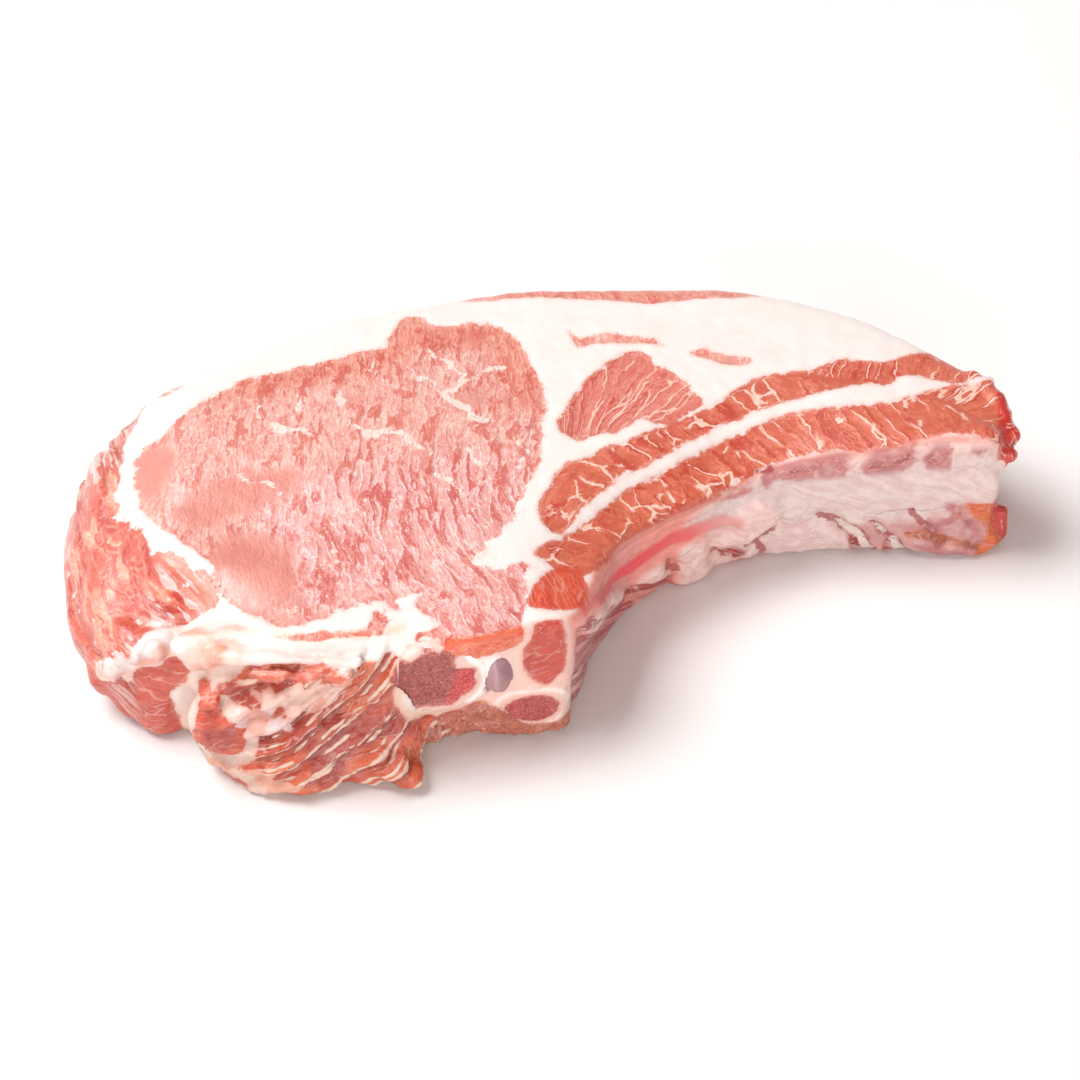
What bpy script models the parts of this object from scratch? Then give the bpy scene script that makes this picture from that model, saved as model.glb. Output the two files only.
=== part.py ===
"""Raw pork rib chop: a thick bone-in slice that lies on one of its two cut faces.

Metres, +Z up. The origin is the middle of the chop's box, on the surface that it lies on. +X points
to the rib end, +Y to the fat cap, and the sawn backbone faces -Y. The flesh, lean and fat grown
together, is one solid. The bones that show at its sides are solids of their own, set in the flesh.
The tables and the lengths below are in millimetres, and MM turns them into metres.
"""

import math

import bmesh
import bpy
import numpy as np
from mathutils import Vector
from mathutils.geometry import delaunay_2d_cdt

MM = 0.001

# ---- driving dimensions, in millimetres ----
THICKNESS = 33.0  # between the two cut faces, over the eye of the loin
RIM_BLEND = 14.0  # how far in from its rim the upper face comes back to THICKNESS
TOP_ROUND = 3.4  # rounding of the upper cut edge
FOOT_ROUND = 2.6  # rounding of the lower cut edge
STATION_STEP = 2.7  # spacing of the sections round the chop
WALL_RINGS = 13
FACE_STEP = 4.4  # spacing of the points inside the upper face
GAP = 0.3  # between a bone and the pocket that it sits in

RIB_HALF_THICK = 3.8
RIB_HALF_WIDE = 6.3
VERTEBRA_DEEP = 13.0  # how far the stub of the backbone reaches into the flesh
VERTEBRA_FACE = (-19.5, -46.4)  # plan position of the middle of its sawn face
VERTEBRA_TURN = math.radians(8)  # that face follows the side, which isn't quite along X
CARTILAGE_RADII = (1.8, 3.6, 4.9)
CARTILAGE_CENTRE = (-7.8, -42.6, 20.6)

# The chop's edge, anticlockwise from the corner where the sawn backbone meets the rib's inner side.
# Each row: rim x, rim y, rim height, foot x, foot y, and how far the side swells between them.
EDGE = [
    # inner side of the rib cage, hollow in plan
    (8, -38, 32, 4, -42, 0),
    (12, -30, 31, 9, -32, 0),
    (14, -22, 30, 12, -22, 0),
    (17, -14, 29, 17, -14, 0),
    (25, -7, 28, 26, -4, 0),
    (34, -2, 28, 36, 2, 0),
    (43, 3, 28, 46, 6, 0),
    (52, 6, 29, 57, 7, 0),
    (65, 8, 31, 68, 8, 0),
    (80, 10, 33, 82, 7, 0),
    # rib end
    (93, 10, 34, 95, 7, 0),
    (98.5, 11, 34, 100, 9, -1),
    (100, 17, 33, 101.5, 15, -1.5),
    (99, 25, 33, 99.5, 26, -1),
    (95, 32, 33, 95, 33, 0),
    # fat cap
    (85, 40, 33, 84, 40, 1),
    (72, 49, 33, 71, 48, 1),
    (58, 55, 33, 57, 53, 1),
    (42, 59, 33, 42, 56, 1),
    (20, 59.5, 33, 20, 56, 1),
    (-4, 59, 33, -4, 56, 1),
    (-22, 55, 33, -22, 53, 1),
    (-40, 50, 33, -40, 48, 1),
    (-58, 42, 32, -58, 41, 1),
    (-73, 34, 31, -75, 36, 1),
    # outer muscle on the back of the loin, swollen
    (-85, 26, 29, -88, 28, 3),
    (-90, 15, 27, -94, 15, 6),
    (-92, 2, 26, -96, 1, 7),
    (-92, -12, 25, -95, -13, 6),
    (-90, -25, 24, -93, -25, 5),
    (-86, -34, 22, -88, -35, 3),
    # muscles beside the spine, spread out at the foot
    (-77, -37, 24, -79, -44, 2),
    (-68, -40, 28, -70, -48, 1),
    (-58, -44, 32, -61, -56, 1),
    (-47, -46, 33, -50, -60, 1),
    (-36, -45, 33, -39, -57, 1),
    (-27, -44, 33, -27, -55, 0),
    # sawn backbone
    (-22, -45, 33, -22, -46, 0),
    (-12, -45, 33, -13, -43, 0),
    (-3, -42, 33, -4, -43, 0),
]

# Upright clefts between muscles, pressed into the side: plan x, y, depth, half width, top height.
CLEFTS = [
    (-73.5, -45, 5.5, 3.0, 26),
    (-91, -30, 2.0, 4.0, 24),
    (-22.5, -46, 1.6, 2.2, 14),
]

# Swellings and hollows of the upper face: plan x, y, rise, radius along x, radius along y.
FACE_SWELLS = [
    (-38, 8, 0.9, 34, 26),  # eye of the loin
    (-62, -14, -1.3, 16, 13),  # its slack lower end
    (22, 28, 0.5, 14, 12),  # small eye in the fat
    (50, 22, -0.7, 30, 8),  # seam over the rib meat
    (-8, -33, 0.9, 13, 7),  # muscle over the backbone
]

# Middle line of the rib, from its head in the sawn backbone to the rib end: x, y, height, width share.
RIB_PATH = [
    (-1.5, -43.5, 10.6, 0.84),
    (3, -36.5, 11.2, 0.8),
    (6.8, -29.5, 12, 0.84),
    (9.4, -21.5, 13, 0.9),
    (14.2, -12.3, 14, 0.95),
    (24, -3.6, 15.5, 1),
    (33.4, 2.3, 16.8, 1),
    (43.4, 7.3, 17.8, 1),
    (54.5, 9.6, 18.5, 1),
    (66.5, 11, 19.2, 1),
    (81, 11.7, 19.6, 1),
    (98.2, 12, 19.6, 1),
]

# Sawn face of the backbone's stub: across it and up, from VERTEBRA_FACE and the surface below.
VERTEBRA_OUTLINE = [
    (-9.5, 23),
    (-8.5, 28),
    (-5.5, 30.6),
    (-0.5, 31),
    (3.5, 29),
    (7.8, 27.5),
    (9.1, 22),
    (7.8, 17),
    (3.5, 14.6),
    (-2.5, 14),
    (-7.5, 17),
]


# ---- curves and fields ----


def closed_curve(points, per_span):
    """Catmull-Rom curve through a closed list of points of any dimension."""
    knots = np.array(points, float)
    before, after = np.roll(knots, 1, axis=0), np.roll(knots, -1, axis=0)
    beyond = np.roll(knots, -2, axis=0)
    t = (np.arange(per_span) / per_span)[None, :, None]
    a, b, c, d = (row[:, None, :] for row in (before, knots, after, beyond))
    cubic = b + 0.5 * t * (c - a + t * (2 * a - 5 * b + 4 * c - d + t * (3 * (b - c) + d - a)))
    return cubic.reshape(-1, knots.shape[1])


def evenly_spaced(points, step):
    """The closed polyline resampled at about step, measured in its first two columns."""
    looped = np.vstack([points, points[:1]])
    along = np.concatenate([[0], np.cumsum(np.hypot(*np.diff(looped[:, :2], axis=0).T))])
    count = round(along[-1] / step)
    wanted = np.arange(count) * along[-1] / count
    return np.column_stack([np.interp(wanted, along, column) for column in looped.T])


def outward(plan):
    """Unit normals that point out of a closed anticlockwise plan polygon."""
    ahead = np.roll(plan, -1, axis=0) - np.roll(plan, 1, axis=0)
    normals = np.column_stack([ahead[:, 1], -ahead[:, 0]])
    return normals / np.linalg.norm(normals, axis=1, keepdims=True)


def smooth_step(value):
    value = np.clip(value, 0, 1)
    return value * value * (3 - 2 * value)


def edge_inset(height, rim_height):
    """How far the side draws in near its rim and its foot, as two quarter rounds."""
    near_rim = np.clip(1 - (rim_height - height) / TOP_ROUND, 0, 1)
    near_foot = np.clip(1 - height / FOOT_ROUND, 0, 1)
    return TOP_ROUND * (1 - np.sqrt(1 - near_rim**2)) + FOOT_ROUND * (1 - np.sqrt(1 - near_foot**2))


def cleft_inset(plan, height):
    """How far the clefts press the side in at these points."""
    inset = np.zeros(len(plan))
    for x, y, depth, half_width, top in CLEFTS:
        away = np.hypot(plan[:, 0] - x, plan[:, 1] - y)
        fade = smooth_step((top - height) / (0.4 * top))
        inset += depth * np.exp(-((away / half_width) ** 2)) * fade
    return inset


def ring_heights():
    """Shares of the rim's height, closer together at the two rounded edges."""
    turn = np.linspace(0, math.pi, WALL_RINGS)
    return (1 - np.cos(turn)) / 2


def wall_rings(stations):
    """The side as rings of points from the foot to the rim."""
    rim, rim_height, foot = stations[:, 0:2], stations[:, 2], stations[:, 3:5]
    swell = stations[:, 5]
    normals = outward((rim + foot) / 2)
    rings = []
    for share in ring_heights():
        height = share * rim_height
        plan = foot + (rim - foot) * share
        out = swell * math.sin(math.pi * share)
        out = out - edge_inset(height, rim_height) - cleft_inset(plan, height)
        rings.append(np.column_stack([plan + normals * out[:, None], height]))
    return rings


def nearest_station(plan, rim):
    """Index of the nearest rim point, and the distance to it."""
    away = np.linalg.norm(plan[:, None, :] - rim[None, :, :], axis=2)
    return away.argmin(axis=1), away.min(axis=1)


def face_heights(plan, rim):
    """Height of the upper face inside its rim."""
    nearest, inside = nearest_station(plan, rim[:, :2])
    blend = smooth_step(inside / RIM_BLEND)
    height = rim[nearest, 2] * (1 - blend) + THICKNESS * blend
    for x, y, rise, wide, deep in FACE_SWELLS:
        swell = np.exp(-(((plan[:, 0] - x) / wide) ** 2) - ((plan[:, 1] - y) / deep) ** 2)
        height += rise * swell * blend
    return height


def inside_points(rim, step):
    """A triangular grid of plan points inside a closed rim, and clear of it."""
    low, high = rim.min(axis=0), rim.max(axis=0)
    row_gap = step * math.sqrt(0.75)
    points = []
    for row in range(int((high[1] - low[1]) / row_gap) + 1):
        xs = np.arange(low[0] + (row % 2) * step / 2, high[0], step)
        points.append(np.column_stack([xs, np.full(len(xs), low[1] + row * row_gap)]))
    points = np.vstack(points)
    ahead = np.roll(rim, -1, axis=0)
    x, y = points[:, 0:1], points[:, 1:2]
    crosses = (rim[:, 1] > y) != (ahead[:, 1] > y)
    rise = np.where(ahead[:, 1] == rim[:, 1], 1, ahead[:, 1] - rim[:, 1])
    at = rim[:, 0] + (y - rim[:, 1]) / rise * (ahead[:, 0] - rim[:, 0])
    inside = (crosses & (x < at)).sum(axis=1) % 2 == 1
    return points[inside & (nearest_station(points, rim)[1] > 0.7 * step)]


# ---- scene ----


def clear_scene():
    for old in list(bpy.data.objects):
        bpy.data.objects.remove(old, do_unlink=True)


def collection(name):
    made = bpy.data.collections.new(name)
    bpy.context.scene.collection.children.link(made)
    return made


def material(name, colour, roughness):
    made = bpy.data.materials.new(name)
    made.use_nodes = True
    shader = made.node_tree.nodes["Principled BSDF"]
    shader.inputs["Base Color"].default_value = (*colour, 1)
    shader.inputs["Roughness"].default_value = roughness
    shader.inputs["Metallic"].default_value = 0
    return made


def mesh_object(name, mesh, home, look):
    made = bpy.data.objects.new(name, mesh)
    home.objects.link(made)
    if look:
        mesh.materials.clear()
        mesh.materials.append(look)
    mesh.shade_smooth()
    mesh.set_sharp_from_angle(angle=math.radians(50))
    return made


def mesh_from_curve(curve, name, home, look):
    """A curve object made a closed mesh object, with its caps welded and the curve removed."""
    graph = bpy.context.evaluated_depsgraph_get()
    mesh = bpy.data.meshes.new_from_object(curve.evaluated_get(graph))
    shape = bmesh.new()
    shape.from_mesh(mesh)
    bmesh.ops.remove_doubles(shape, verts=shape.verts, dist=0.02 * MM)
    bmesh.ops.recalc_face_normals(shape, faces=shape.faces)
    shape.to_mesh(mesh)
    shape.free()
    made = mesh_object(name, mesh, home, look)
    made.matrix_world = curve.matrix_world.copy()
    bpy.data.objects.remove(curve, do_unlink=True)
    return made


def make_cutter(piece):
    piece.hide_render = True
    piece.display_type = "WIRE"
    return piece


# ---- flesh ----


def flesh(home, look):
    """The slice itself: a loft from the foot to the rim, closed by the two cut faces."""
    dense = closed_curve(EDGE, 24)
    stations = evenly_spaced(dense, STATION_STEP)
    rings = wall_rings(stations)
    shape = bmesh.new()
    loops = [[shape.verts.new(Vector(p) * MM) for p in ring] for ring in rings]
    count = len(stations)
    for low, high in zip(loops, loops[1:]):
        for i in range(count):
            j = (i + 1) % count
            shape.faces.new((low[i], low[j], high[j], high[i]))
    shape.faces.new(loops[0][::-1])
    upper_face(shape, loops[-1], rings[-1])
    bmesh.ops.triangulate(shape, faces=[f for f in shape.faces if len(f.verts) > 4])
    mesh = bpy.data.meshes.new("flesh")
    shape.to_mesh(mesh)
    shape.free()
    return mesh_object("flesh", mesh, home, look)


def upper_face(shape, loop, rim):
    """Closes the top with a triangle net that follows the cut face's swellings."""
    inner = inside_points(rim[:, :2], FACE_STEP)
    plan = [Vector(p) for p in np.vstack([rim[:, :2], inner])]
    count = len(loop)
    edges = [(i, (i + 1) % count) for i in range(count)]
    points, _, faces, origins, _, _ = delaunay_2d_cdt(plan, edges, [], 1, 1e-6)
    heights = face_heights(np.array([tuple(p) for p in points]), rim)
    verts = []
    for point, height, came_from in zip(points, heights, origins):
        on_rim = came_from and came_from[0] < count
        if on_rim:
            verts.append(loop[came_from[0]])
        else:
            verts.append(shape.verts.new((point.x * MM, point.y * MM, height * MM)))
    for face in faces:
        shape.faces.new([verts[i] for i in face])


# ---- bones ----


def rib(name, home, look, clearance=0.0, overrun=0.0):
    """The rib: a flat oval bar along its path. A cutter is fatter by clearance and longer by overrun."""
    section = bpy.data.curves.new(name + "_section", "CURVE")
    section.dimensions = "2D"
    oval = section.splines.new("POLY")
    sides = 18
    oval.points.add(sides - 1)
    for i, point in enumerate(oval.points):
        turn = 2 * math.pi * i / sides
        across = (RIB_HALF_THICK + clearance) * math.cos(turn)
        up = (RIB_HALF_WIDE + clearance) * math.sin(turn)
        point.co = (across * MM, up * MM, 0, 1)
    oval.use_cyclic_u = True
    section_object = bpy.data.objects.new(name + "_section", section)
    home.objects.link(section_object)

    path = np.array(RIB_PATH, float)
    first, last = path[0, :3] - path[1, :3], path[-1, :3] - path[-2, :3]
    path[0, :3] += overrun * first / np.linalg.norm(first)
    path[-1, :3] += overrun * last / np.linalg.norm(last)
    line = bpy.data.curves.new(name, "CURVE")
    line.dimensions = "3D"
    line.twist_mode = "Z_UP"
    line.resolution_u = 3
    line.bevel_mode = "OBJECT"
    line.bevel_object = section_object
    line.use_fill_caps = True
    run = line.splines.new("BEZIER")
    run.bezier_points.add(len(path) - 1)
    for point, (x, y, z, width) in zip(run.bezier_points, path):
        point.co = (x * MM, y * MM, z * MM)
        point.radius = width
        point.handle_left_type = point.handle_right_type = "AUTO"
    curve = bpy.data.objects.new(name + "_curve", line)
    home.objects.link(curve)
    made = mesh_from_curve(curve, name, home, look)
    bpy.data.objects.remove(section_object, do_unlink=True)
    return made


def vertebra(name, home, look, clearance=0.0):
    """The stub of the backbone: its sawn outline pushed into the flesh, with rounded edges."""
    edge_round = 0.9
    outline = bpy.data.curves.new(name, "CURVE")
    outline.dimensions = "2D"
    outline.fill_mode = "BOTH"
    outline.extrude = (VERTEBRA_DEEP / 2 - edge_round + clearance) * MM
    outline.bevel_depth = edge_round * MM
    outline.bevel_resolution = 1
    outline.offset = (clearance - edge_round) * MM
    line = outline.splines.new("POLY")
    points = closed_curve(VERTEBRA_OUTLINE, 4)
    line.points.add(len(points) - 1)
    for point, (across, up) in zip(line.points, points):
        point.co = (across * MM, up * MM, 0, 1)
    line.use_cyclic_u = True
    curve = bpy.data.objects.new(name + "_curve", outline)
    home.objects.link(curve)
    x, y = VERTEBRA_FACE
    inward = VERTEBRA_DEEP / 2
    curve.rotation_euler = (math.pi / 2, 0, VERTEBRA_TURN)
    curve.location = (
        (x - inward * math.sin(VERTEBRA_TURN)) * MM,
        (y + inward * math.cos(VERTEBRA_TURN)) * MM,
        0,
    )
    bpy.context.view_layer.update()
    return mesh_from_curve(curve, name, home, look)


def cartilage(name, home, look, clearance=0.0):
    """The smooth disc between the backbone's stub and the rib's head."""
    shape = bmesh.new()
    bmesh.ops.create_uvsphere(shape, u_segments=16, v_segments=10, radius=1)
    radii = [(r + clearance) * MM for r in CARTILAGE_RADII]
    bmesh.ops.scale(shape, vec=radii, verts=shape.verts)
    mesh = bpy.data.meshes.new(name)
    shape.to_mesh(mesh)
    shape.free()
    made = mesh_object(name, mesh, home, look)
    made.location = Vector(CARTILAGE_CENTRE) * MM
    return made


def centre(pieces, measured):
    """Moves the pieces together until the origin is under the middle of the measured piece's box."""
    corners = np.array([measured.matrix_world @ Vector(corner) for corner in measured.bound_box])
    middle = (corners.min(axis=0) + corners.max(axis=0)) / 2
    for piece in pieces:
        piece.location.x -= middle[0]
        piece.location.y -= middle[1]


def cut(piece, cutter):
    pocket = piece.modifiers.new("pocket_" + cutter.name, "BOOLEAN")
    pocket.operation = "DIFFERENCE"
    pocket.object = cutter


def main():
    clear_scene()
    chop = collection("raw_pork_chop")
    cutters = collection("cutters")
    lean_and_fat = material("flesh", (0.78, 0.33, 0.25), 0.4)
    bone = material("bone", (0.72, 0.52, 0.48), 0.5)
    sawn_bone = material("spongy_bone", (0.42, 0.12, 0.11), 0.7)
    smooth_cartilage = material("cartilage", (0.55, 0.33, 0.37), 0.25)

    body = flesh(chop, lean_and_fat)
    rib("rib_bone", chop, bone)
    vertebra("backbone_stub", chop, sawn_bone)
    cartilage("joint_cartilage", chop, smooth_cartilage)
    cut(body, make_cutter(rib("rib_pocket", cutters, None, GAP, overrun=4)))
    cut(body, make_cutter(vertebra("backbone_pocket", cutters, None, GAP)))
    cut(body, make_cutter(cartilage("cartilage_pocket", cutters, None, GAP)))
    centre([*chop.objects, *cutters.objects], body)


main()
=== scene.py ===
"""Looks of the raw pork rib chop: the marbled meat, its fat, and the bones that show at its sides.

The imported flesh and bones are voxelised, softened and given the lobes, clefts and grain of real meat.
Every point of the meat's surface then gets signed distances and colours, in millimetres of the row
frame, that the material turns into lean, fat, membrane, marbling and fibres. Lengths in the tables
are in millimetres, and MM turns them into metres.
"""

import copy
import math

import bpy
import numpy as np
import openvdb
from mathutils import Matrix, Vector


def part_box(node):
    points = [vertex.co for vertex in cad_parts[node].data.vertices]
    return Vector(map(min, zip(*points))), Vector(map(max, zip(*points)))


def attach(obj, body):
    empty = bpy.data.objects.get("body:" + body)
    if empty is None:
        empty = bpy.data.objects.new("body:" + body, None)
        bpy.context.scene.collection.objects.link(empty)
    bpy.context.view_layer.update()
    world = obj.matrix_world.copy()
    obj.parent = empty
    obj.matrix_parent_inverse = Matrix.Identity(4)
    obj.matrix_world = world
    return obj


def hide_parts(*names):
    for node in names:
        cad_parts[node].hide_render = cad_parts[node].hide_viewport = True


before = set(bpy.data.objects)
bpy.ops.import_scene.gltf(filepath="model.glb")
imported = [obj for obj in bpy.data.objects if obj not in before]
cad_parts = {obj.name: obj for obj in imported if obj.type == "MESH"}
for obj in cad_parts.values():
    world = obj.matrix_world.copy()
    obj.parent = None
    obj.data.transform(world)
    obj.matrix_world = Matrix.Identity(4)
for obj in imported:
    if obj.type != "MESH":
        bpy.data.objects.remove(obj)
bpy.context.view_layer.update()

MM = 0.001
BAND = 9  # half width of the level sets, in voxels

THICKNESS = 33.0
RIM_BLEND = 14.0

# ---- lines on the chop, in mm ----

# The rim of the upper cut face, anticlockwise from the chine corner: x, y, height.
RIM = [
    (8, -38, 32), (12, -30, 31), (14, -22, 30), (17, -14, 29), (25, -7, 28), (34, -2, 28),
    (43, 3, 28), (52, 6, 29), (65, 8, 31), (80, 10, 33), (93, 10, 34), (98.5, 11, 34),
    (100, 17, 33), (99, 25, 33), (95, 32, 33), (85, 40, 33), (72, 49, 33), (58, 55, 33),
    (42, 59, 33), (20, 59.5, 33), (-4, 59, 33), (-22, 55, 33), (-40, 50, 33), (-58, 42, 32),
    (-73, 34, 31), (-85, 26, 29), (-90, 15, 27), (-92, 2, 26), (-92, -12, 25), (-90, -25, 24),
    (-86, -34, 22), (-77, -37, 24), (-68, -40, 28), (-58, -44, 32), (-47, -46, 33),
    (-36, -45, 33), (-27, -44, 33), (-15, -45, 33), (-3, -42, 33),
]

# Muscles cut across by the faces, as outlines in plan.
EYE = [
    (-85, 5), (-85, 12), (-79, 16), (-70, 25), (-62, 30), (-51, 33), (-39, 37), (-33, 40),
    (-30, 47), (-26, 48.5), (-22, 45), (-10, 46.5), (-5, 42), (-1, 32), (2, 23), (1, 13),
    (0, 2), (-3, -4), (-6, -13), (-13, -23), (-20, -31), (-28, -33), (-40, -37), (-50, -41),
    (-58, -36), (-64, -30), (-66, -24), (-71, -19), (-78, -12), (-83, -4),
]
SMALL_EYE = [
    (4, 15), (6, 20), (10, 28), (15, 34), (19, 37), (23, 37), (26, 33), (30, 30), (35, 24),
    (34, 20), (27, 15.5), (22, 17), (17, 13), (12, 12), (8, 11),
]
OUTER_STRIP = [
    (1, -10), (2, -5), (5, 1.5), (9, 4.5), (17, 9), (27, 14.5), (36, 20), (43, 25.5), (49, 29.5),
    (60, 31.5), (66, 34.5), (75, 33.5), (83, 36.5), (91, 36), (96, 31), (91, 28.5), (85, 29.5),
    (79, 31), (75, 28), (69, 28.5), (62, 26.5), (51, 23), (42, 18.5), (36, 15), (30, 11),
    (24, 7), (17, 2), (10, -5), (4, -14),
]
INNER_STRIP = [
    (0, -21), (5, -16), (10, -11), (15, -5), (19, -1), (27, 4.5), (36, 10.5), (43, 14.5),
    (50, 18), (59, 20.5), (74, 22), (83, 25), (92, 27), (106, 27), (106, 9), (98, 10.5),
    (89, 13), (81, 12), (72, 10.5), (59, 10.5), (50, 8.5), (43, 4.5), (33, -2), (24, -7.5),
    (18, -14), (14, -20), (8, -25),
]
BACK_STRIP = [
    (-25, 57), (-15, 53.5), (-2, 54.5), (14, 54), (25, 52.5), (36, 54), (50, 55.5), (54, 62),
    (20, 66), (-12, 65),
]
OUTER_MUSCLE = [
    (-79, 32), (-84, 27), (-88, 18), (-89, 8), (-88, -3), (-83, -9), (-79, -16), (-73, -20),
    (-68, -25), (-65, -30), (-67, -34), (-74, -34), (-81, -37), (-90, -45), (-112, -25),
    (-112, 20), (-95, 42),
]
SMOOTH_PATCH = [
    (-79, -17), (-72, -20.5), (-68, -25), (-65, -29), (-66, -33), (-69, -32), (-73, -26),
    (-77, -21),
]
CHINE_MUSCLE = [
    (-24, -33), (-18, -26), (-6, -25), (-2, -24), (-2, -31), (-2, -37), (-5, -46), (-18, -47),
    (-20, -40), (-24, -36),
]
MOTTLED_FAT = [(-39, -41), (-33, -36), (-24, -32), (-19, -36), (-19, -43), (-30, -43.5)]
CORNER_MUSCLE = [(-2, -35), (-0.5, -29), (3, -24.5), (8, -22), (10, -27), (10, -33), (6, -35.5), (2, -36)]

# Lean streaks in the fat of the upper face, and calm wet patches of the eye.
LEDGE_STREAKS = [[(-52, -44.5), (-46, -44), (-41, -44)], [(-39, -43.5), (-34.5, -43.5)]]
STREAKS = [
    [(7, 44), (9, 41), (14, 43), (22, 42), (28, 39.5), (22, 40), (13, 40), (9, 38.5)],
    [(33, 37), (37, 35), (44, 33), (46, 35.5), (41, 36.5), (36, 38)],
]
SMOOTH_AREAS = [
    [(-86, 10), (-79, 12), (-77, 4), (-80, -3), (-87, 2)],
    [(-74, -6), (-64, 0), (-52, 2), (-50, -3), (-60, -9), (-72, -14)],
    [(-66, -18), (-58, -15), (-50, -22), (-50, -33), (-58, -33), (-64, -26)],
]

# Fat lines of the marbling on the upper face: half width, then the points in plan.
MARBLING = [
    (0.55, [(-23, 40), (-20, 36), (-17, 33), (-16, 29), (-19, 26), (-18, 22), (-13, 18)]),
    (0.9, [(-19, 25), (-16, 21), (-12, 17)]),
    (0.4, [(-8, 34), (-11, 31), (-15, 30)]),
    (0.8, [(-39, 14), (-34, 12.5), (-29, 11), (-25, 8)]),
    (0.5, [(-26, 30), (-22, 27), (-19, 24)]),
    (0.7, [(-14, 9), (-13, 6), (-12, 5)]),
    (0.6, [(-51, 24), (-51.5, 19)]),
    (0.5, [(-60, 21), (-60, 16)]),
    (0.9, [(-57, 14), (-53, 12), (-50, 11.5)]),
    (0.4, [(-43, 24), (-42, 19)]),
    (0.5, [(-35, 36), (-34.5, 30)]),
    (0.7, [(-21, 0), (-18, -3), (-17, -5)]),
    (0.5, [(-4, 12), (-3, 7), (-5, 2)]),
    (0.35, [(-62, 2), (-57, -1), (-52, -5)]),
]

# On the spine side, as outlines in x and height.
LEFT_BLOCK = [
    (-99, -5), (-99, 12), (-91, 12), (-87, 14.5), (-83, 17), (-78, 21), (-74, 22.5), (-70, 22.5),
    (-71.5, 18), (-74.5, 13), (-74.5, 7), (-74, -5),
]
LOBE_A = [
    (-90, 13), (-88, 17), (-85, 20), (-81, 22), (-77, 25), (-74, 24), (-76, 21.5), (-79, 20),
    (-83, 17), (-86, 14),
]
LOBE_B = [(-72, 25), (-70, 28), (-66, 30), (-60, 31), (-60, 26), (-65, 22.5), (-67, 23), (-70, 22.5)]
MIDDLE_BLOCK = [
    (-70.5, -5), (-71, 8), (-69.5, 20), (-64, 25), (-60, 29), (-52, 31), (-40, 31.5), (-30, 33),
    (-27, 28), (-29, 20), (-26, 14), (-20, 9), (-20, -5),
]
ROUND_MUSCLE = [
    (-68.5, 20.5), (-64, 22), (-62, 18.5), (-58.5, 17.5), (-58, 13.5), (-59, 10), (-63, 6.5),
    (-67, 5.5), (-71, 3), (-72, 6), (-70, 14),
]
# SHADOWED_FOLD is painted dark red as painted shade in the cleft between the round muscle and the sheets above it.
SHADOWED_FOLD = [(-66, 22), (-61, 24), (-56, 23.5), (-50, 23), (-49, 21), (-54, 20.5), (-59, 19.5), (-62, 20.5)]
UPPER_FOLD = [(-61, 27), (-58, 29), (-55, 30.5), (-49, 31), (-42, 31), (-37.5, 29), (-46, 28.5), (-57, 27)]
UPPER_SHEET = [
    (-56, 22), (-54, 25), (-50, 26.5), (-46, 27), (-40, 29), (-37, 28.5), (-38.5, 24.5),
    (-43, 21), (-48, 18.5), (-50, 20), (-50.5, 22.5), (-54, 21.5),
]
LOWER_SHEET = [(-60, 18.5), (-55, 19), (-50, 18.5), (-47, 17.5), (-51, 15.5), (-56, 13), (-60, 12.5)]
FOOT_SHEET = [(-65, 4.5), (-60, 5.5), (-55, 6.5), (-50, 5), (-48, 2.5), (-52, 1), (-58, 1.5), (-65, 1.5)]
CHINE_END = [(-1.5, 30), (0.5, 34), (3, 34), (5.5, 30), (6, 24), (5, 19), (2.5, 16.5), (0, 17.5), (-2.5, 21), (-3, 26)]
BONE_CAP = [(-15, 14.5), (-10, 15.5), (-8, 19), (-7.6, 23.5), (-9, 28), (-14, 29.5), (-11, 25), (-11, 19)]
CHINE_FOOT = [
    (-21, 9.5), (-16, 12), (-12, 13), (-9, 11), (-6, 8.5), (-2, 5.5), (3, 4.5), (9, 3), (9, -5),
    (-22, -5),
]
ORANGE_EDGE = [(-19, 30), (-18, 33), (-13, 35), (-3, 35), (-3, 30), (-8, 28), (-13, 28.5)]
RIB_MARROW = [(-7, 10), (-5, 12.8), (-1.5, 14), (2.5, 13), (4.5, 10), (3.5, 7), (0, 5.5), (-4, 6.8)]
LAYER_CENTRE = (-80, 68.5)  # of the arcs that the layers of the middle block follow
LAYER_DEPTH = 4.5
NO_VEIN = 4.0  # distance in mm to a vein where there is none

# In the bay, as outlines in distance along the side and height.
BAY_BAND = [
    (44, 21), (52, 25), (60, 27), (75, 26), (95, 26.5), (110, 30), (114, 30), (113.5, 15),
    (105, 15), (97, 12), (88, 11), (80, 11.5), (70, 12), (62, 14), (56, 18),
]
BAY_DARKS = [
    [(2, 26), (8, 23), (15, 17), (23, 12), (29, 10), (32, 6), (30, 1), (20, -4), (4, -4), (0, 10)],
    [(31, 11.5), (34, 9), (39, 7), (42, 4.5), (41, 2), (36, 3), (31, 8)],
    [(50, 11), (53, 10), (58, 5.5), (59, 3), (55, 5.5), (51, 8.5)],
    [(78, 12), (81, 10.5), (85, 6.5), (88, 1), (84, -1), (83, 6), (80, 8)],
    [(88, 9.5), (91, 6), (96, 1), (98, -3), (92, -3), (90, 4)],
]
BAY_BRUISES = [
    [(54, 24.5), (62, 28), (75, 31), (90, 32), (109, 31.5), (111, 27), (96, 25.5), (80, 25.5), (66, 24.5)],
    [(95, 10), (99, 14), (105, 16.5), (109, 13), (111, 7), (111, 2), (103, 1), (97, 4)],
]
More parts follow.
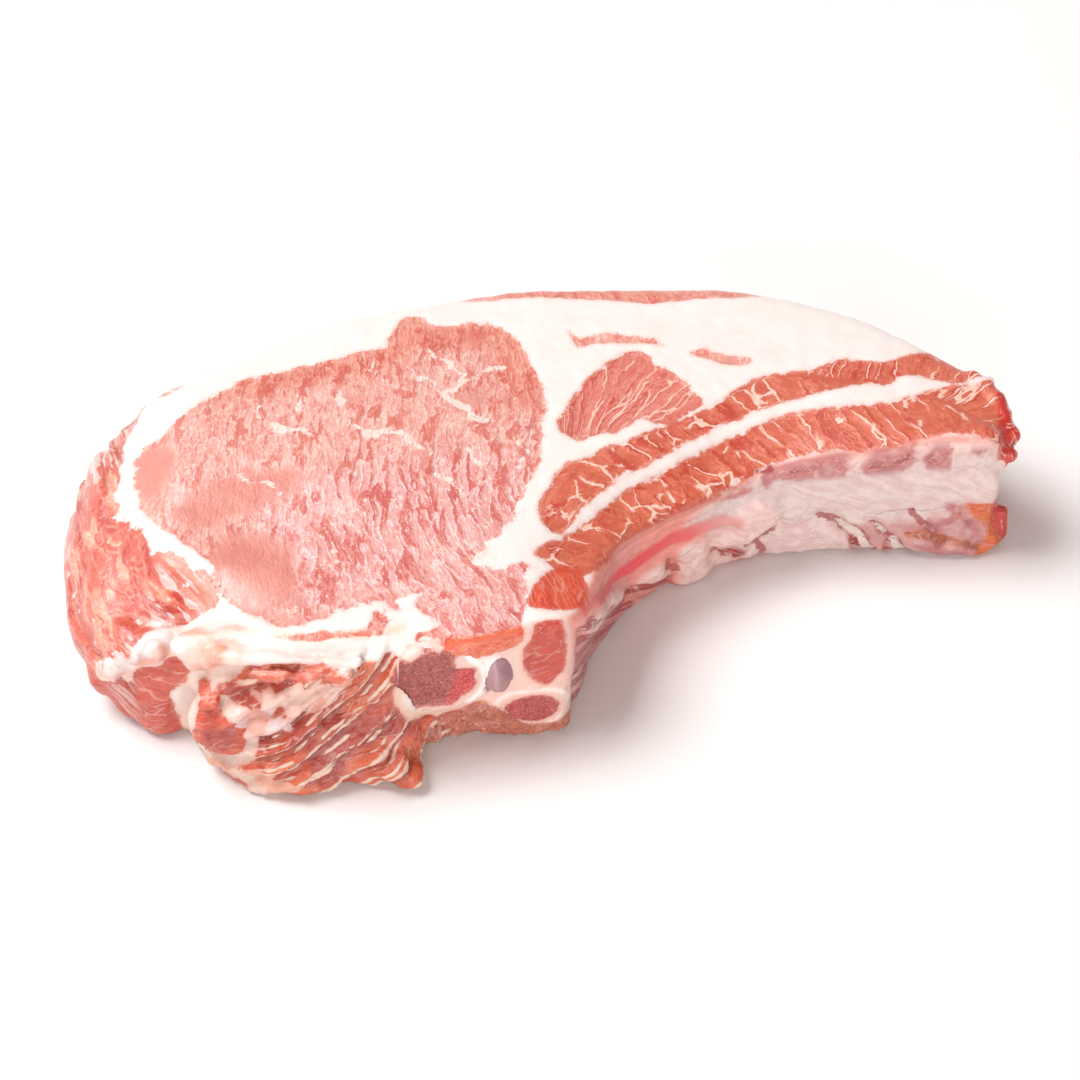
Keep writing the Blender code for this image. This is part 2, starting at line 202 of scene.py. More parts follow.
BAY_LOBES = [
    [(3, 27), (10, 25), (17, 21), (23, 16), (27, 13), (28, 8.5), (23, 9), (15, 14), (6, 21)],
    [(30, 12), (32, 14.5), (37, 14), (41, 9), (42, 5), (39, 6.5), (34, 9)],
    [(42, 15), (45, 17), (49, 14), (51, 9), (50, 1), (44, -1), (43, 8)],
    [(51, 12), (56, 13), (60, 9), (60, 5), (56, 8), (52, 10)],
    [(56, 20), (60, 22), (65, 21), (66, 16), (63, 11), (59, 8.5), (57, 14)],
]
VESSEL = [(5, 29.5), (9, 28), (13, 25.5), (20, 21), (29, 18.3), (35, 18.7), (42, 19), (50, 19), (56, 17.5)]
TORN_GAP = [(95, 7.2), (101, 6), (106, 4.6), (111, 3)]
TEARS = [
    (0.35, [(76, 13), (80, 10.5), (84, 6.5), (88, 1)]),
    (0.3, [(87, 10), (91, 5.5), (95, 0.5)]),
    (0.3, [(95, 13.5), (98, 10.5)]),
    (0.3, [(59, 9), (62, 7), (64, 2)]),
    (0.25, [(56, 27.5), (60, 29), (64, 28.5)]),
    (0.3, [(39, 12.5), (43, 7.5)]),
    (0.25, [(63, 8.5), (66, 11.5)]),
]
TORN_EDGE = [(107, 16), (112, 16), (116, 12), (116, -4), (108, -4), (111, 3), (112, 8), (109, 12)]


# ---- numbers ----


def smooth_step(value):
    value = np.clip(value, 0, 1)
    return value * value * (3 - 2 * value)


def smooth_min(a, b, width):
    share = np.clip(0.5 + 0.5 * (b - a) / width, 0, 1)
    return b * (1 - share) + a * share - width * share * (1 - share)


def closed_curve(points, per_span):
    """Catmull-Rom curve through a closed list of points."""
    knots = np.array(points, float)
    before, after, beyond = (np.roll(knots, shift, axis=0) for shift in (1, -1, -2))
    t = (np.arange(per_span) / per_span)[None, :, None]
    a, b, c, d = (row[:, None, :] for row in (before, knots, after, beyond))
    cubic = b + 0.5 * t * (c - a + t * (2 * a - 5 * b + 4 * c - d + t * (3 * (b - c) + d - a)))
    return cubic.reshape(-1, knots.shape[1])


def line_distance(at, line):
    """Distance from each 2-D point to an open polyline."""
    nearest = np.full(len(at), 1e9)
    knots = np.array(line, float)
    for a, b in zip(knots[:-1], knots[1:]):
        along = np.clip(((at - a) @ (b - a)) / ((b - a) @ (b - a)), 0, 1)
        nearest = np.minimum(nearest, np.linalg.norm(at - a - along[:, None] * (b - a), axis=1))
    return nearest


def inside(at, outline, spans=3):
    """Signed distance from each 2-D point to a rounded closed outline, positive inside it."""
    knots = closed_curve(outline, spans)
    ahead = np.roll(knots, -1, axis=0)
    within = np.zeros(len(at), bool)
    for (ax, ay), (bx, by) in zip(knots, ahead):
        if ay == by:
            continue
        crosses = (ay > at[:, 1]) != (by > at[:, 1])
        within ^= crosses & (at[:, 0] < ax + (at[:, 1] - ay) / (by - ay) * (bx - ax))
    away = line_distance(at, np.vstack([knots, knots[:1]]))
    return np.where(within, away, -away)


def lattice(cell, seed):
    """Repeatable random numbers from -1 to 1 at whole-number points."""
    x, y, z = (cell[..., i].astype(np.uint32) for i in range(3))
    mixed = x * np.uint32(73856093) ^ y * np.uint32(19349663) ^ z * np.uint32(83492791)
    mixed ^= np.uint32((seed * 2654435761) & 0xFFFFFFFF)
    mixed = (mixed ^ (mixed >> np.uint32(13))) * np.uint32(1274126177)
    mixed ^= mixed >> np.uint32(16)
    return (mixed & np.uint32(0xFFFFFF)).astype(float) / 0x7FFFFF - 1


def noise(points, size, seed=0, octaves=1):
    """Smooth noise, about -1 to 1, with features of this size; each octave halves it."""
    total, weight = 0.0, 0.0
    for octave in range(octaves):
        scaled = np.asarray(points, float) / size * 2**octave + 31.7 * octave
        cell = np.floor(scaled)
        part = scaled - cell
        part = part * part * (3 - 2 * part)
        cell = cell.astype(np.int64)
        value = 0.0
        for corner in np.ndindex(2, 2, 2):
            share = np.prod([part[:, i] if c else 1 - part[:, i] for i, c in enumerate(corner)], axis=0)
            value = value + share * lattice(cell + np.array(corner), seed + octave)
        total = total + value * 0.5**octave
        weight += 0.5**octave
    return total / weight


# ---- solids ----


def node_triangles(node):
    """Points in mm and triangles of a CAD node."""
    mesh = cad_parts[node].data
    points = np.empty(len(mesh.vertices) * 3, np.float32)
    mesh.vertices.foreach_get("co", points)
    mesh.calc_loop_triangles()
    corners = np.empty(len(mesh.loop_triangles) * 3, np.int32)
    mesh.loop_triangles.foreach_get("vertices", corners)
    return points.reshape(-1, 3) / np.float32(MM), corners.reshape(-1, 3).astype(np.uint32)


class Volume:
    """Signed distances in mm on a grid round one CAD node, which can be built up and cut."""

    def __init__(self, node, voxel, margin=6.0):
        self.voxel = voxel
        self.transform = openvdb.createLinearTransform(voxel)
        points, _ = node_triangles(node)
        self.first = np.floor((points.min(axis=0) - margin) / voxel).astype(int)
        last = np.ceil((points.max(axis=0) + margin) / voxel).astype(int)
        self.values = np.empty(last - self.first + 1, np.float32)
        self.values = self.read(node)

    def read(self, node):
        """Signed distances to a CAD node on this volume's grid."""
        points, corners = node_triangles(node)
        grid = openvdb.FloatGrid.createLevelSetFromPolygons(
            points, triangles=corners, transform=self.transform, halfWidth=float(BAND)
        )
        values = np.empty_like(self.values)
        grid.copyToArray(values, ijk=tuple(int(i) for i in self.first))
        return values

    def part(self, low, high):
        """The cells inside a box, and the points of their centres."""
        start = np.floor(np.array(low) / self.voxel).astype(int) - self.first
        stop = np.ceil(np.array(high) / self.voxel).astype(int) - self.first
        start = np.clip(start, 0, self.values.shape)
        stop = np.clip(stop, start, self.values.shape)
        cells = tuple(slice(a, b) for a, b in zip(start, stop))
        axes = [(np.arange(a, b) + f) * self.voxel for a, b, f in zip(start, stop, self.first)]
        return cells, np.stack(np.meshgrid(*axes, indexing="ij"), axis=-1)

    def soften(self, rounds):
        for _ in range(rounds):
            for axis in range(3):
                values = self.values
                self.values = (np.roll(values, 1, axis) + 2 * values + np.roll(values, -1, axis)) / 4

    def strand(self, points, radii, blend, cut=False):
        """Adds, or cuts away, a rounded strand through these points, blended in over this width."""
        points, radii = np.array(points, float), np.broadcast_to(radii, len(points)).astype(float)
        reach = radii.max() + 2 * blend + 1
        cells, at = self.part(points.min(axis=0) - reach, points.max(axis=0) + reach)
        shape = np.full(at.shape[:3], 1e9)
        for i in range(max(len(points) - 1, 1)):
            a, b = points[i], points[min(i + 1, len(points) - 1)]
            run = b - a
            along = np.clip(((at - a) @ run) / max(run @ run, 1e-9), 0, 1)
            radius = radii[i] + along * (radii[min(i + 1, len(points) - 1)] - radii[i])
            away = np.linalg.norm(at - a - along[..., None] * run, axis=-1) - radius
            shape = np.minimum(shape, away)
        old = self.values[cells]
        if cut:
            self.values[cells] = -smooth_min(-old, shape, blend)
        else:
            self.values[cells] = smooth_min(old, shape, blend)

    def lobe(self, centre, radii, blend):
        """Adds a rounded lump with these radii."""
        reach = max(radii) + 2 * blend + 1
        cells, at = self.part(np.array(centre) - reach, np.array(centre) + reach)
        scaled = np.linalg.norm((at - np.array(centre)) / np.array(radii), axis=-1)
        shape = (scaled - 1) * min(radii)
        self.values[cells] = smooth_min(self.values[cells], shape, blend)

    def lumps(self, path, radii, count, seed, blend=0.8):
        """Small rounded lumps strewn along a path."""
        chance = np.random.default_rng(seed)
        knots = np.array(path, float)
        for _ in range(count):
            way = chance.uniform(0, len(knots) - 1)
            i = int(way)
            centre = knots[i] + (knots[i + 1] - knots[i]) * (way - i)
            centre = centre + chance.normal(0, min(radii) * 0.6, 3)
            self.lobe(centre, np.array(radii) * chance.uniform(0.6, 1.2, 3), blend)

    def saw(self, point, facing, low, high):
        """Cuts off what stands out past a plane, inside a box."""
        cells, at = self.part(low, high)
        past = (at - np.array(point)) @ (np.array(facing) / np.linalg.norm(facing))
        self.values[cells] = -smooth_min(-self.values[cells], -past, 0.6)

    def flatten_foot(self):
        """Cuts off what reaches below the surface that the chop lies on."""
        cells, at = self.part((-999, -999, -999), (999, 999, 999))
        self.values = np.maximum(self.values, -at[..., 2].astype(np.float32))

    def directions(self, points):
        """Unit vectors that point straight out of the volume at these points."""
        at = points / self.voxel - self.first
        corner = np.clip(np.floor(at).astype(int), 0, np.array(self.values.shape) - 2)
        part = at - corner
        found = np.zeros_like(points)
        for axis, slope in enumerate(np.gradient(self.values)):
            for step in np.ndindex(2, 2, 2):
                share = np.prod(np.where(step, part, 1 - part), axis=1)
                found[:, axis] += share * slope[tuple((corner + step).T)]
        return found / np.maximum(np.linalg.norm(found, axis=1), 1e-6)[:, None]

    def mesh(self, name):
        grid = openvdb.FloatGrid(BAND * self.voxel)
        grid.copyFromArray(self.values.astype(np.float32), ijk=tuple(int(i) for i in self.first))
        grid.transform = self.transform
        points, _, quads = grid.convertToPolygons(isovalue=0, adaptivity=0)
        made = bpy.data.meshes.new(name)
        made.from_pydata((points * MM).tolist(), [], quads[:, ::-1].tolist())
        made.update()
        return made


def vertices(mesh):
    """Places of a mesh's vertices, in mm."""
    points = np.empty(len(mesh.vertices) * 3)
    mesh.vertices.foreach_get("co", points)
    return points.reshape(-1, 3) / MM


def move_vertices(mesh, points):
    mesh.vertices.foreach_set("co", (points * MM).ravel())
    mesh.update()


def store(mesh, name, values):
    """Keeps one number, vector or colour for each vertex, for the material to read."""
    kinds = {1: ("FLOAT", "value"), 3: ("FLOAT_VECTOR", "vector"), 4: ("FLOAT_COLOR", "color")}
    values = np.asarray(values, np.float32).reshape(len(mesh.vertices), -1)
    kind, field = kinds[values.shape[1]]
    attribute = mesh.attributes.new(name, kind, "POINT")
    attribute.data.foreach_set(field, values.ravel())


# ---- where a point is on the chop ----


class Place:
    """Coordinates of surface points: along the side, in from it, and down from the upper face."""

    def __init__(self, points, whole):
        normals = whole.directions(points)
        rim = closed_curve(RIM, 14)
        ahead = np.roll(rim, -1, axis=0)[:, :2] - rim[:, :2]
        length = np.linalg.norm(ahead, axis=1)
        tangent = ahead / length[:, None]
        start = np.concatenate([[0], np.cumsum(length)[:-1]])
        self.girth = length.sum()
        nearest = np.empty(len(points), int)
        for part in np.array_split(np.arange(len(points)), 60):
            away = ((points[part, None, :2] - rim[None, :, :2]) ** 2).sum(axis=2)
            nearest[part] = away.argmin(axis=1)
        offset = points[:, :2] - rim[nearest, :2]
        heading = tangent[nearest]
        along = (offset * heading).sum(axis=1)
        self.inner = heading[:, 0] * offset[:, 1] - heading[:, 1] * offset[:, 0]
        self.side = start[nearest] + along
        half = self.girth / 2
        self.side = (self.side + half) % self.girth - half
        rim_height = rim[nearest, 2]
        blend = smooth_step(self.inner / RIM_BLEND)
        self.top = rim_height * (1 - blend) + THICKNESS * blend
        self.depth = self.top - points[:, 2]
        self.edge = self.depth - self.inner
        self.plan = points[:, :2]
        self.wall = np.column_stack([self.side, points[:, 2]])
        self.points = points
        self.normals = normals
        under = (-normals[:, 2] - 0.6) * 6
        self.on_face = np.maximum(1.5 - self.edge, under)
        self.on_wall = np.minimum(1.5 + self.edge, (normals[:, 2] + 0.9) * 6)
        self.rim, self.start = rim, start

    def side_of(self, x, y):
        """Distance along the side of the rim point nearest to a place in plan."""
        i = ((self.rim[:, 0] - x) ** 2 + (self.rim[:, 1] - y) ** 2).argmin()
        half = self.girth / 2
        return (self.start[i] + half) % self.girth - half


def srgb(red, green, blue):
    """Linear colour of an sRGB value given from 0 to 255."""
    value = np.array([red, green, blue]) / 255
    return np.where(value > 0.04045, ((value + 0.055) / 1.055) ** 2.4, value / 12.92)


BRIGHT = srgb(276, 262, 256)  # bone and gristle so pale that they stay white in the shade of the sides


class Skin:
    """What the meat's surface shows at each point."""

    def __init__(self, count):
        self.lean = np.full(count, -8.0)
        self.tint = np.tile(srgb(240, 160, 145), (count, 1))
        self.pale = np.tile(srgb(255, 248, 244), (count, 1))
        self.grain = np.zeros((count, 3))
        self.traits = {name: np.zeros(count) for name in ("flake", "smooth", "strand", "film", "rough", "layered")}
        self.vein = np.full(count, NO_VEIN)
        self.relief = np.zeros(count)

    def muscle(self, within, tint, grain=None, width=1.6, **traits):
        """Lean meat where within is above 0."""
        if grain is not None:
            self.grain = np.where((within > self.lean)[:, None], grain, self.grain)
        self.lean = np.maximum(self.lean, within)
        share = smooth_step(within / width + 0.5)
        self.tint += (tint - self.tint) * share[:, None]
        for name, amount in traits.items():
            self.traits[name] += (amount - self.traits[name]) * share

    def stain(self, within, tint, width=3.0, amount=1.0):
        """Changes the lean's colour, softly over this width."""
        share = smooth_step(within / width + 0.5) * amount
        self.tint += (tint - self.tint) * share[:, None]

    def fat(self, within, tone=None, width=1.5):
        """Fat, membrane or bone-coloured tissue where within is above 0."""
        self.lean = np.minimum(self.lean, -within)
        if tone is not None:
            share = smooth_step(within / width + 0.6)
            self.pale += (tone - self.pale) * share[:, None]

    def tone(self, within, tone, width=2.0, amount=1.0):
        """Changes the colour of the fat, softly over this width."""
        share = smooth_step(within / width + 0.5) * amount
        self.pale += (tone - self.pale) * share[:, None]

    def trait(self, name, within, amount, width=4.0):
        share = smooth_step(within / width + 0.5)
        self.traits[name] += (amount - self.traits[name]) * share

    def press(self, within, height, width=1.0):
        self.relief += height * smooth_step(within / width + 0.5)


# ---- the pieces ----


def outer_surface(volume):
    """Makes the volume the chop's whole outer surface: softened flesh, bones and lumps together."""
    volume.values = volume.read("flesh")
    volume.soften(round(1.1 / volume.voxel**2))
    for name in BONES:
        volume.values = smooth_min(volume.values, volume.read(name), 2.5)
    volume.soften(round(0.45 / volume.voxel**2))
    shape_meat(volume)
    volume.flatten_foot()


def build_meat():
    volume = Volume("flesh", 0.75)
    outer_surface(volume)
    whole = copy.copy(volume)
    for name, spread in BONES.items():
        volume.values = np.maximum(volume.values, spread - volume.read(name))
    mesh = volume.mesh("meat")
    place = Place(vertices(mesh), whole)
    skin = Skin(len(place.points))
    paint_outside(skin, place)
    paint_faces(skin, place)
    paint_spine(skin, place)
    paint_bay(skin, place)
    paint_rib_head(skin, place)
    paint_end(skin, place)
    roughen(skin, place)
    finish_piece(mesh, place, skin, "flesh", tissue_material("raw_pork"))


def build_bone(node, voxel, paint, material):
    """A bone that shows at the surface, cut out of the same outer surface as the flesh round it."""
    volume = Volume(node, voxel)
    bone = volume.values
    outer_surface(volume)
    whole = copy.copy(volume)
    volume.values = np.maximum(volume.values + 0.08, bone - BONES[node] - 0.9)
    mesh = volume.mesh(node + "_piece")
    place = Place(vertices(mesh), whole)
    skin = Skin(len(place.points))
    paint_spine(skin, place)
    paint_bay(skin, place)
    paint(skin, place)
    roughen(skin, place)
    finish_piece(mesh, place, skin, node, tissue_material(material))


def roughen(skin, place):
    """The unevenness of soft tissue, less on the two cut faces than on the sides."""
    wall = smooth_step(place.edge / 4 + 0.5)
    skin.relief += noise(place.points, 9, 51) * (0.25 + 0.35 * wall)
    skin.relief += noise(place.points, 3.5, 52, 2) * (0.2 + 0.15 * wall)
    skin.relief += 0.3 * (1 - smooth_step(skin.lean / 1.5 + 0.5)) * (1 - wall)


def seams(mesh, grain):
    """1 at the points beside which the grain jumps, so that the material can stay calm there."""
    ends = np.empty(len(mesh.edges) * 2, np.int32)
    mesh.edges.foreach_get("vertices", ends)
    ends = ends.reshape(-1, 2)
    jump = np.linalg.norm(grain[ends[:, 0]] - grain[ends[:, 1]], axis=1) > 4
    found = np.zeros(len(grain))
    found[ends[jump].ravel()] = 1
    return found


def finish_piece(mesh, place, skin, node, material):
    """Raises the relief, keeps what the skin holds, and adds the piece to the scene."""
    points = place.points + place.normals * skin.relief[:, None]
    points[:, 2] = np.maximum(points[:, 2], 0)
    move_vertices(mesh, points)
    store(mesh, "lean", skin.lean)
    store(mesh, "tint", np.column_stack([skin.tint, np.ones(len(points))]))
    store(mesh, "pale", np.column_stack([skin.pale, np.ones(len(points))]))
    store(mesh, "grain", skin.grain)
    store(mesh, "vein", skin.vein)
    store(mesh, "seam", seams(mesh, skin.grain))
    traits = skin.traits
    store(mesh, "traits_a", np.column_stack([traits["flake"], traits["smooth"], traits["strand"]]))
    store(mesh, "traits_b", np.column_stack([traits["film"], traits["rough"], traits["layered"]]))
    mesh.shade_smooth()
    mesh.materials.append(material)
    piece = bpy.data.objects.new(mesh.name, mesh)
    bpy.context.scene.collection.objects.link(piece)
    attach(piece, "root")
    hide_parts(node)


def shape_meat(volume):
    """Lumps, folds and clefts that the plain solid doesn't have."""
    volume.strand([(-84, -33, 21.5), (-88, -32, 18), (-90.5, -31, 13)], (2.6, 2.8, 2.2), 2)
    volume.lobe((-90, -33, 9), (3.0, 3.5, 4.5), 2)
    volume.strand([(-86, -36, 18), (-81, -36, 22), (-76, -36, 24)], (2.0, 2.4, 2.0), 2.5)
    volume.lumps([(-87, -37, 17), (-81, -38, 21.5), (-75, -39, 24.5)], (1.8, 1.6, 1.6), 14, 1)
    volume.lumps([(-72, -40.5, 26), (-66, -43, 27), (-61, -45, 28)], (2.2, 1.8, 1.8), 11, 2)
    volume.lumps([(-60, -46, 30), (-50, -47.6, 31), (-38, -47.3, 30)], (4.5, 1.1, 0.9), 12, 3)
    volume.lumps([(-58, -48, 28), (-48, -50, 28.6), (-40, -49.6, 28.6)], (3.6, 0.9, 0.8), 9, 4)
    volume.lobe((-65, -40.5, 27), (5.5, 3.5, 3.2), 2.5)
    volume.strand([(-71.5, -45, 27), (-73, -46, 14), (-75, -46, -2)], (0.6, 1.6, 2.4), 2.5, cut=True)
    volume.lobe((-64, -48.5, 14), (7, 5, 7.5), 2.5)
    volume.strand([(-67, -47.5, 22.5), (-60, -51, 20), (-50, -53.5, 20.5)], (0.5, 1.2, 0.6), 1.2, cut=True)
    volume.strand([(-48, -50, 26.5), (-41, -48.5, 28.5)], (1.6, 1.2), 2)
    volume.strand([(-32, -52.5, 6), (-27, -54.5, 3.5)], (3.4, 3.0), 2)
    volume.strand([(-20, -50, 4), (-23, -55, 1)], (1.0, 1.8), 1.5, cut=True)
    volume.strand([(94, 31, 32), (98.5, 24, 31.4), (99.8, 17, 29.6), (99, 12.5, 27)], (1.6, 2.2, 2.0, 1.4), 1.5)
    volume.lumps([(96.5, 28, 31.4), (98.8, 24, 31.4), (100, 17, 29), (99.4, 12.5, 26)], (1.5, 1.9, 1.7), 18, 5)
    volume.strand([(98, 28, 26), (101, 20, 24.5)], (0.4, 1.0), 1.0, cut=True)
    volume.strand([(95, 8.5, 2), (100.5, 12, 3.5), (101, 12.5, 9)], (1.8, 2.2, 1.6), 1.5)
    volume.strand([(78, 6.5, 7.6), (87, 6.5, 6), (96, 6.5, 4.4)], (0.4, 1.0, 0.7), 0.8, cut=True)
    volume.strand([(-1.5, -42, 21), (2.5, -41, 31)], (0.8, 0.8), 1.5, cut=True)
    volume.lobe((-2, -39, 9.5), (7.5, 5.2, 5.6), 1.5)
    volume.saw((-1.5, -42.9, 9.5), (0.18, -1, 0), (-8, -48, 3), (7, -38, 16))


# How far each bone's visible piece reaches past its solid, into the skin over it.
BONES = {"rib_bone": 0.9, "backbone_stub": 0.2, "joint_cartilage": 0.1}


def paint_faces(skin, place):
    """The muscles that the two cut faces show, and their marbling."""
    def shape(outline):
        return np.minimum(inside(place.plan, outline), place.on_face)

    x, y = place.plan.T
    points = place.points

    eye = shape(EYE)
    turn = np.radians(90 + 22 * smooth_step((x + 60) / 60) * smooth_step((10 - y) / 40))
    grain = np.column_stack([
        x * np.sin(turn) - y * np.cos(turn),
        x * np.cos(turn) + y * np.sin(turn),
        points[:, 2],
    ])
    skin.muscle(eye, srgb(241, 172, 160), grain, flake=0.5)
    upper = np.minimum(eye, 7 - eye)
    skin.stain(np.minimum(upper, (y - 22) / 2), srgb(232, 142, 122), 6)
    flaky = inside(place.plan, [(-52, -2), (-20, 8), (-4, 2), (-8, -18), (-20, -30), (-45, -36), (-58, -24)])
    skin.trait("flake", np.minimum(eye, flaky), 1.0, 16)
    skin.stain(np.minimum(eye, flaky), srgb(241, 170, 166), 14, 0.8)
    for outline in SMOOTH_AREAS:
        within = np.minimum(eye, inside(place.plan, outline))
        skin.trait("smooth", within, 1.0, 5)
        skin.stain(within, srgb(234, 151, 136), 5)
    small = shape(SMALL_EYE)
    away = points - np.array([6, 0, 0])
    reach = np.hypot(away[:, 0], away[:, 1])
    fan = np.column_stack([np.arctan2(away[:, 1], away[:, 0]) * 26, reach, points[:, 2]])
    skin.muscle(small, srgb(228, 126, 110), fan, strand=0.85, flake=0.6)

    across = np.column_stack([place.side + 0.35 * place.inner, place.inner, points[:, 2]]) * (0.6, 1, 1)
    skin.muscle(shape(OUTER_STRIP) + 0.7, srgb(220, 106, 80), across, strand=1.0, flake=0.4)
    skin.muscle(shape(INNER_STRIP) + 0.4, srgb(220, 104, 76), across, strand=1.0, flake=0.4)
    skin.muscle(shape(BACK_STRIP), srgb(236, 150, 132), across)
    skin.stain(shape(SMOOTH_PATCH), srgb(250, 152, 130), 2)
    skin.trait("smooth", shape(SMOOTH_PATCH), 1.0, 1.5)
    skin.muscle(shape(CHINE_MUSCLE), srgb(242, 168, 162), grain, flake=0.8)
    skin.muscle(shape(CORNER_MUSCLE), srgb(226, 80, 46), grain, strand=0.4)
    mottles = np.minimum(shape(MOTTLED_FAT), noise(points, 4, 35, 3) * 7)
    skin.muscle(mottles, srgb(236, 140, 128), grain, flake=0.6)
    for line in LEDGE_STREAKS:
        within = np.minimum(1.7 - line_distance(place.plan, line), place.on_face)
        skin.muscle(within, srgb(232, 120, 92), grain)
    for outline in STREAKS:
        skin.muscle(shape(outline), srgb(244, 176, 162), grain)
    wander = np.column_stack([noise(points, 6, 61, 3), noise(points, 6, 62, 3)]) * 4
    for half_width, line in MARBLING:
        away = line_distance(place.plan + wander, line) - half_width + 0.2
        skin.vein = np.minimum(skin.vein, np.maximum(away, -place.on_face))


def paint_spine(skin, place):
    """The side where the muscles of the spine were cut off, and the sawn backbone."""
    x, y, z = place.points.T
    face = np.column_stack([x, z])
    gate = np.minimum(np.minimum(place.on_wall, 1 - place.side), -28 - y)

    def shape(outline):
        return np.minimum(inside(face, outline), gate)

    skin.tone(np.minimum(gate, x + 22), srgb(255, 216, 204), 3)
    reach, along = layer_place(place)
    paint_layers(skin, place, shape(MIDDLE_BLOCK), reach, along)
    ledge = np.minimum(gate, np.minimum(z - 29.2 + noise(place.points, 5, 17, 2) * 1.5, -24 - x))
    skin.fat(ledge * 1.5, srgb(254, 244, 238))
    warp = noise(place.points, 9, 5) * 2
    curl = np.column_stack([np.hypot(x + 74, z - 30) + warp, x * 0.7 + z, y])
    skin.muscle(shape(LEFT_BLOCK), srgb(212, 84, 62), curl, strand=0.6, flake=0.5)
    flow = np.column_stack([z - x * 0.4, x + z * 0.4, y])
    round_muscle = shape(ROUND_MUSCLE)
    skin.fat(np.minimum(round_muscle + 2.0, 1.2 - round_muscle), srgb(250, 226, 214))
    skin.muscle(round_muscle - 0.6, srgb(226, 96, 66), flow, strand=0.5, layered=0.0)
    skin.stain(round_muscle - 2.5, srgb(190, 66, 48), 3)
    low, high = (np.array(corner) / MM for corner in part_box("joint_cartilage"))
    middle, half = (low + high) / 2, (high - low) / 2
    ring = np.hypot((x - middle[0]) / half[0], (z - middle[2]) / half[2]) - 1
    skin.tone(shape(BONE_CAP) + 0.5, BRIGHT, 1)
    skin.press(shape(BONE_CAP), 0.6, 1.5)
    # A dark line round the lower left of the cartilage, pressed in a little: painted shade in the crevice there.
    lower_left = (middle[0] - x) * 0.6 + middle[2] - z
    crevice_shade = np.minimum(1.0 - np.abs(ring - 0.2) * half[0], lower_left / 2)
    skin.tone(np.minimum(gate, crevice_shade), srgb(126, 60, 50), 0.7)
    skin.press(np.minimum(gate, crevice_shade), -0.5, 1)
    # The first fold's dark red is painted shade in the cleft; the upper fold is the meat's own colour.
    for outline, tint in ((SHADOWED_FOLD, (190, 74, 56)), (UPPER_FOLD, (232, 118, 92))):
        skin.muscle(shape(outline), srgb(*tint), flow, strand=0.7, layered=0.0)
    skin.muscle(shape(CHINE_END), srgb(214, 68, 42), flow, strand=0.4, layered=0.0)
    skin.muscle(shape(ORANGE_EDGE), srgb(246, 118, 78), flow, strand=0.3)
    skin.muscle(shape(CHINE_FOOT), srgb(206, 108, 84), flow, rough=0.6)
    skin.relief += noise(place.points, 2.6, 24, 3) * 2.0 * smooth_step(shape(CHINE_FOOT) / 2)
    streak = noise(np.column_stack([reach, along * 0.12, x * 0]), 1.3, 18, 2) * 2.6
    for outline, tint in (
        (LOBE_A, (252, 236, 232)),
        (LOBE_B, (252, 226, 212)),
        (UPPER_SHEET, (252, 214, 198)),
        (LOWER_SHEET, (246, 216, 214)),
        (FOOT_SHEET, (240, 208, 190)),
    ):
        ragged = 0.9 if outline in (LOBE_A, LOBE_B) else streak
        within = shape(outline) + ragged + noise(place.points, 3, 15, 2) * 1.2
        skin.fat(within * 1.5, srgb(*tint))
        skin.tone(np.minimum(within, noise(place.points, 4, 33, 3) * 9 - 1), srgb(244, 150, 112), 3, 0.6)
        skin.trait("layered", within, 0.0, 1)
        skin.trait("film", within, 0.7)
        skin.press(within, 0.5, 2)


def layer_place(place):
    """Distance from the centre that the cut layers curve round, and along them, in mm."""
    x, y, z = place.points.T
    reach = np.hypot(x - LAYER_CENTRE[0], z - LAYER_CENTRE[1])
    reach = reach + noise(place.points * (1, 1, 0.6), 14, 3) * 2.2 + noise(place.points, 5, 4) * 0.5
    return reach, np.arctan2(z - LAYER_CENTRE[1], x - LAYER_CENTRE[0]) * 65


def paint_layers(skin, place, within, reach, along):
    """Thin cut layers, each overlapping the next one down."""
    x, y, z = place.points.T
    skin.muscle(within, srgb(192, 58, 28), np.column_stack([reach, along, y]), strand=0.6, layered=1.0)
    skin.stain(np.minimum(within, noise(place.points, 7, 6, 2) * 8), srgb(234, 108, 62), 3, 0.8)
    skin.tone(within + 2, srgb(250, 212, 190), 2)
    skin.trait("film", np.minimum(within, 7 - z), 0.5, 5)
    step = reach / LAYER_DEPTH % 1
    rise = np.where(step < 0.85, step / 0.85, (1 - step) / 0.15)
    skin.relief += (rise - 0.5) * 1.9 * smooth_step(within / 3)
    skin.relief += noise(place.points, 3, 34, 2) * 0.8 * smooth_step(within / 3)


